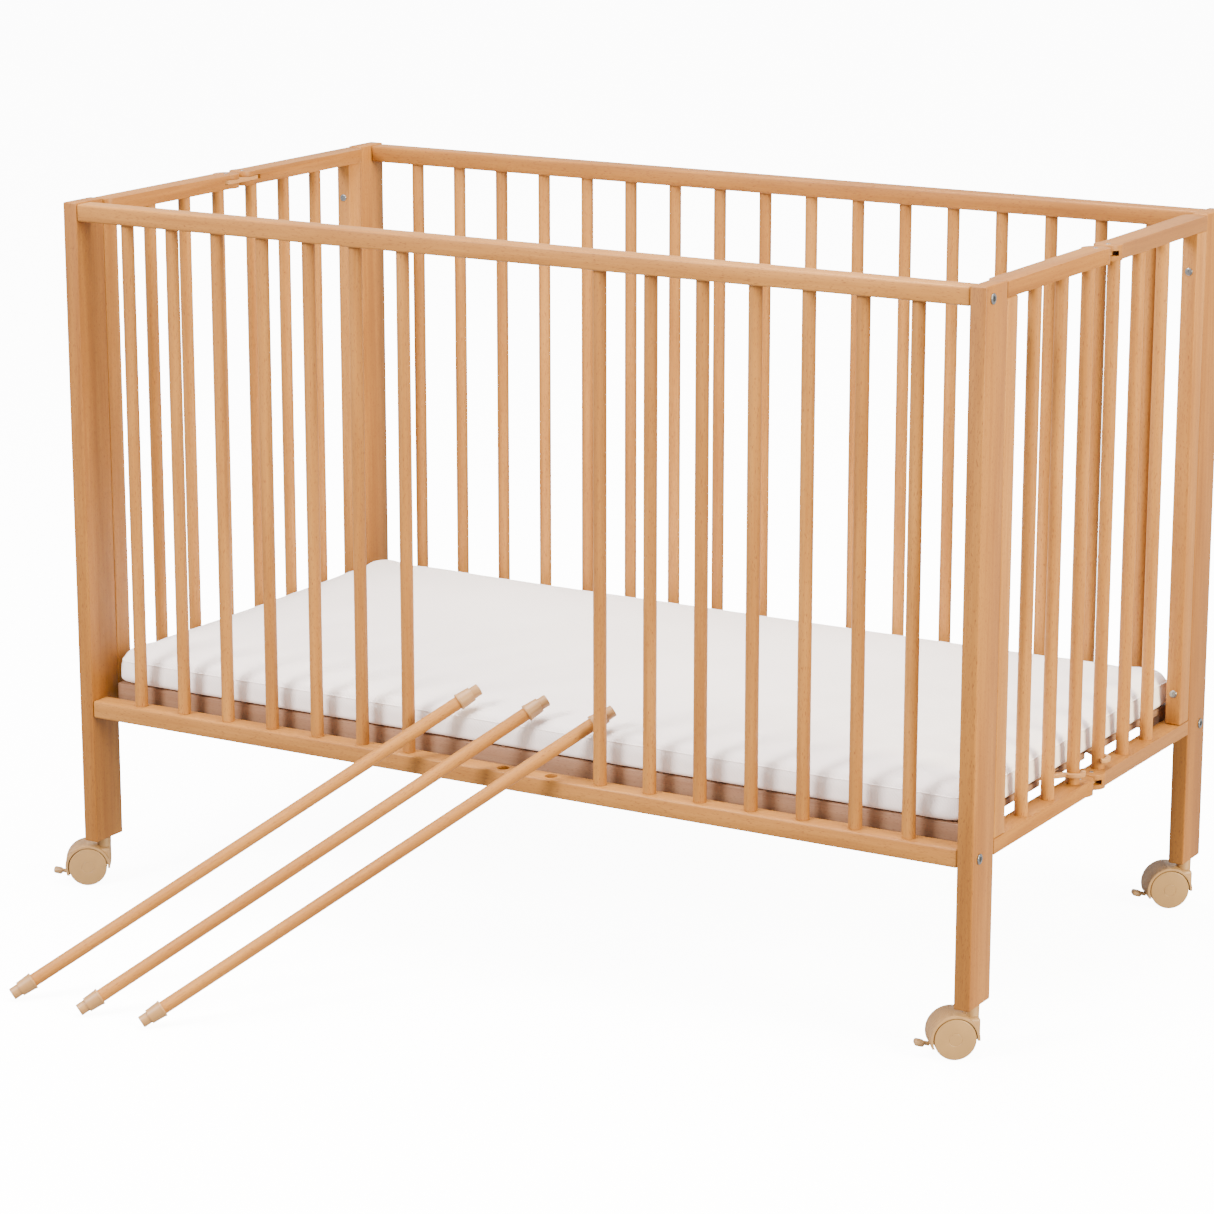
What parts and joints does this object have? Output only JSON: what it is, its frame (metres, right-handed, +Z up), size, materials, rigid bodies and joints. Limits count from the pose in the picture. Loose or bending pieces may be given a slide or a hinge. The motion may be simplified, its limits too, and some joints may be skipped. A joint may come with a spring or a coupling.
{
  "type": "playpen",
  "caption": "Folding slatted wooden playpen on swivel casters, with a mattress on a slatted base and removable front bars leaning in their opening.",
  "frame": {"origin": "middle of the whole footprint at floor level, with the leaning bars and the casters counted", "axes": "+X along the length to the right end, +Y to the back, +Z up"},
  "size_m": [1.3129, 1.0885, 0.885],
  "materials": {
    "beech": "satin clear lacquer on beech",
    "plywood": "clear lacquered thin plywood",
    "base_wood": "plain sanded wood",
    "cover_fabric": "off-white knitted cover",
    "caster_plastic": "satin beige",
    "wheel_plastic": "satin beige"
  },
  "bodies": {
    "frame": {"post_front_left": "beech", "stile_front_left": "beech", "post_front_right": "beech", "stile_front_right": "beech", "post_rear_left": "beech", "stile_rear_left": "beech", "post_rear_right": "beech", "stile_rear_right": "beech", "rail_front_top": "beech", "rail_front_low": "beech", "bar_front_01": "beech", "bar_front_02": "beech", "bar_front_03": "beech", "bar_front_04": "beech", "bar_front_05": "beech", "bar_front_06": "beech", "bar_front_07": "beech", "bar_front_11": "beech", "bar_front_12": "beech", "bar_front_13": "beech", "bar_front_14": "beech", "bar_front_15": "beech", "bar_front_16": "beech", "bar_front_17": "beech", "side_rear": "beech", "end_left_front": "beech", "end_left_rear": "beech", "end_right_front": "beech", "end_right_rear": "beech", "link_left_top": "plywood", "link_left_low": "plywood", "link_right_top": "plywood", "link_right_low": "plywood", "base": "base_wood"},
    "mattress": {"mattress": "cover_fabric"},
    "bar_loose_1": {"bar_loose_1": "beech"},
    "bar_loose_2": {"bar_loose_2": "beech"},
    "bar_loose_3": {"bar_loose_3": "beech"},
    "latch_left_front": {"latch_left_front": "plywood"},
    "latch_left_rear": {"latch_left_rear": "plywood"},
    "latch_right_front": {"latch_right_front": "plywood"},
    "latch_right_rear": {"latch_right_rear": "plywood"},
    "caster_front_left": {"hood_front_left": "caster_plastic"},
    "wheel_pair_front_left": {"wheels_front_left": "wheel_plastic"},
    "pedal_front_left": {"brake_front_left": "caster_plastic"},
    "caster_front_right": {"hood_front_right": "caster_plastic"},
    "wheel_pair_front_right": {"wheels_front_right": "wheel_plastic"},
    "pedal_front_right": {"brake_front_right": "caster_plastic"},
    "caster_rear_left": {"hood_rear_left": "caster_plastic"},
    "wheel_pair_rear_left": {"wheels_rear_left": "wheel_plastic"},
    "pedal_rear_left": {"brake_rear_left": "caster_plastic"},
    "caster_rear_right": {"hood_rear_right": "caster_plastic"},
    "wheel_pair_rear_right": {"wheels_rear_right": "wheel_plastic"},
    "pedal_rear_right": {"brake_rear_right": "caster_plastic"}
  },
  "joints": [
    {"name": "mattress_lift", "type": "slide", "parent": "frame", "child": "mattress", "axis": [0, 0, 1], "range_m": [0, 0.64]},
    {"name": "bar_loose_1_lift", "type": "slide", "parent": "frame", "child": "bar_loose_1", "axis": [-0.4608, -0.5364, 0.7071], "range_m": [0, 0.93]},
    {"name": "bar_loose_2_lift", "type": "slide", "parent": "frame", "child": "bar_loose_2", "axis": [-0.4548, -0.5415, 0.7071], "range_m": [0, 0.93]},
    {"name": "bar_loose_3_lift", "type": "slide", "parent": "frame", "child": "bar_loose_3", "axis": [-0.4614, -0.5359, 0.7071], "range_m": [0, 0.93]},
    {"name": "latch_left_front_turn", "type": "hinge", "parent": "frame", "child": "latch_left_front", "pos_m": [-0.5568, 0.1125, 0.2615], "axis": [0, 0, 1], "range_deg": [0, 55]},
    {"name": "latch_left_rear_turn", "type": "hinge", "parent": "frame", "child": "latch_left_rear", "pos_m": [-0.5568, 0.2685, 0.2615], "axis": [0, 0, -1], "range_deg": [0, 55]},
    {"name": "latch_right_front_turn", "type": "hinge", "parent": "frame", "child": "latch_right_front", "pos_m": [0.5992, 0.1125, 0.2615], "axis": [0, 0, -1], "range_deg": [0, 55]},
    {"name": "latch_right_rear_turn", "type": "hinge", "parent": "frame", "child": "latch_right_rear", "pos_m": [0.5992, 0.2685, 0.2615], "axis": [0, 0, 1], "range_deg": [0, 55]},
    {"name": "swivel_front_left", "type": "hinge", "parent": "frame", "child": "caster_front_left", "pos_m": [-0.5963, -0.12125, 0.055], "axis": [0, 0, 1], "continuous": true},
    {"name": "roll_front_left", "type": "hinge", "parent": "caster_front_left", "child": "wheel_pair_front_left", "pos_m": [-0.61329, -0.13359, 0.0245], "axis": [-0.5878, 0.809, 0], "continuous": true},
    {"name": "brake_front_left_press", "type": "hinge", "parent": "caster_front_left", "child": "pedal_front_left", "pos_m": [-0.63877, -0.15211, 0.0155], "axis": [-0.5878, 0.809, 0], "range_deg": [0, 25]},
    {"name": "swivel_front_right", "type": "hinge", "parent": "frame", "child": "caster_front_right", "pos_m": [0.6387, -0.12125, 0.055], "axis": [0, 0, 1], "continuous": true},
    {"name": "roll_front_right", "type": "hinge", "parent": "caster_front_right", "child": "wheel_pair_front_right", "pos_m": [0.62171, -0.13359, 0.0245], "axis": [-0.5878, 0.809, 0], "continuous": true},
    {"name": "brake_front_right_press", "type": "hinge", "parent": "caster_front_right", "child": "pedal_front_right", "pos_m": [0.59623, -0.15211, 0.0155], "axis": [-0.5878, 0.809, 0], "range_deg": [0, 25]},
    {"name": "swivel_rear_left", "type": "hinge", "parent": "frame", "child": "caster_rear_left", "pos_m": [-0.5963, 0.50225, 0.055], "axis": [0, 0, 1], "continuous": true},
    {"name": "roll_rear_left", "type": "hinge", "parent": "caster_rear_left", "child": "wheel_pair_rear_left", "pos_m": [-0.61449, 0.51275, 0.0245], "axis": [0.5, 0.866, 0], "continuous": true},
    {"name": "brake_rear_left_press", "type": "hinge", "parent": "caster_rear_left", "child": "pedal_rear_left", "pos_m": [-0.64177, 0.5285, 0.0155], "axis": [0.5, 0.866, 0], "range_deg": [0, 25]},
    {"name": "swivel_rear_right", "type": "hinge", "parent": "frame", "child": "caster_rear_right", "pos_m": [0.6387, 0.50225, 0.055], "axis": [0, 0, 1], "continuous": true},
    {"name": "roll_rear_right", "type": "hinge", "parent": "caster_rear_right", "child": "wheel_pair_rear_right", "pos_m": [0.62171, 0.48991, 0.0245], "axis": [-0.5878, 0.809, 0], "continuous": true},
    {"name": "brake_rear_right_press", "type": "hinge", "parent": "caster_rear_right", "child": "pedal_rear_right", "pos_m": [0.59623, 0.47139, 0.0155], "axis": [-0.5878, 0.809, 0], "range_deg": [0, 25]}
  ],
  "couplings": [
    {"joint": "bar_loose_1_lift", "follows": "mattress_lift", "ratio": 1.45},
    {"joint": "bar_loose_2_lift", "follows": "mattress_lift", "ratio": 1.45},
    {"joint": "bar_loose_3_lift", "follows": "mattress_lift", "ratio": 1.45}
  ]
}
